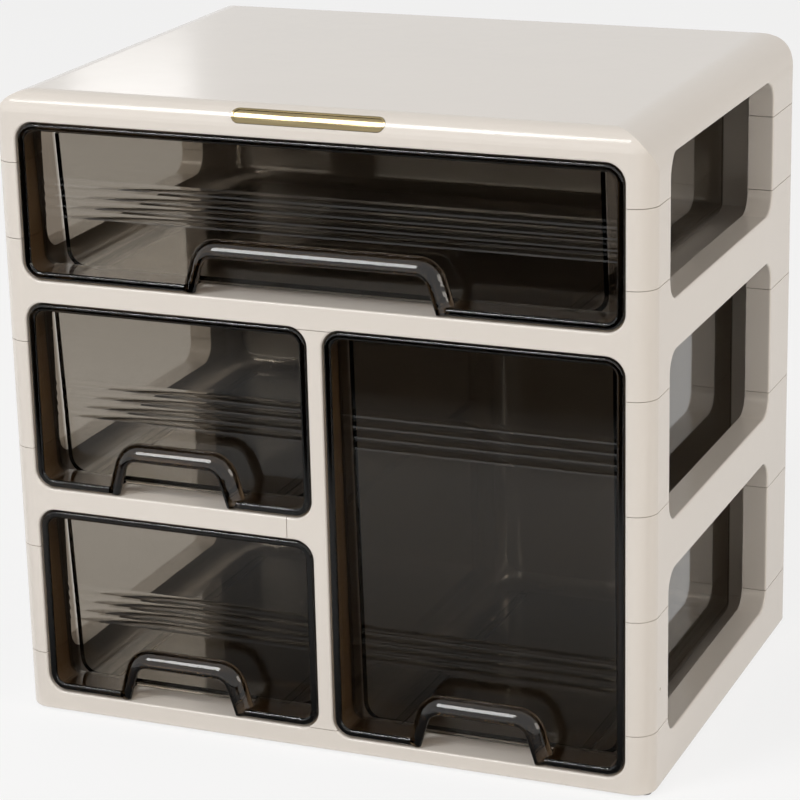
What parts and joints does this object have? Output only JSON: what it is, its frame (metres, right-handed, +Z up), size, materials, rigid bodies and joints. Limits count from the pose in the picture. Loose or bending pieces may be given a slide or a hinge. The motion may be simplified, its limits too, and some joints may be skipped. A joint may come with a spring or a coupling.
{
  "type": "desktop drawer organizer",
  "caption": "Box-shaped desktop organizer with a stacked, rounded plastic frame, open side windows and smoked drawers with arched pulls that slide out to the front.",
  "frame": {"origin": "on the standing plane, under the middle of the frame", "axes": "+X to the right of someone facing the drawers, +Y to the back, +Z up"},
  "size_m": [0.293, 0.216, 0.2829],
  "materials": {
    "cream_frame": "glossy moulded cream plastic",
    "smoked_drawer": "glossy see-through smoked brown plastic",
    "gold_badge": "bright gold plating",
    "foot_pads": "matt"
  },
  "bodies": {
    "frame": {"base": "cream_frame", "foot_pads": "foot_pads", "side_rail": "cream_frame", "half_shelf": "cream_frame", "divider": "cream_frame", "upper_shelf": "cream_frame", "top_cover": "cream_frame", "badge": "gold_badge", "top_column_front_left": "cream_frame", "top_column_front_right": "cream_frame", "top_column_rear_left": "cream_frame", "top_column_rear_right": "cream_frame", "middle_column_front_left": "cream_frame", "middle_column_front_right": "cream_frame", "middle_column_rear_left": "cream_frame", "middle_column_rear_right": "cream_frame", "lower_column_front_left": "cream_frame", "lower_column_front_right": "cream_frame", "lower_column_rear_left": "cream_frame", "lower_column_rear_right": "cream_frame", "top_back_panel": "cream_frame", "middle_back_panel": "cream_frame", "lower_back_panel": "cream_frame", "tall_back_panel": "cream_frame"},
    "drawer_top": {"top_drawer": "smoked_drawer"},
    "drawer_middle": {"middle_drawer": "smoked_drawer"},
    "drawer_lower": {"lower_drawer": "smoked_drawer"},
    "drawer_tall": {"tall_drawer": "smoked_drawer"}
  },
  "joints": [
    {"name": "top_drawer_slide", "type": "slide", "parent": "frame", "child": "drawer_top", "axis": [0, -1, 0], "range_m": [0, 0.13]},
    {"name": "middle_drawer_slide", "type": "slide", "parent": "frame", "child": "drawer_middle", "axis": [0, -1, 0], "range_m": [0, 0.13]},
    {"name": "lower_drawer_slide", "type": "slide", "parent": "frame", "child": "drawer_lower", "axis": [0, -1, 0], "range_m": [0, 0.13]},
    {"name": "tall_drawer_slide", "type": "slide", "parent": "frame", "child": "drawer_tall", "axis": [0, -1, 0], "range_m": [0, 0.13]}
  ]
}
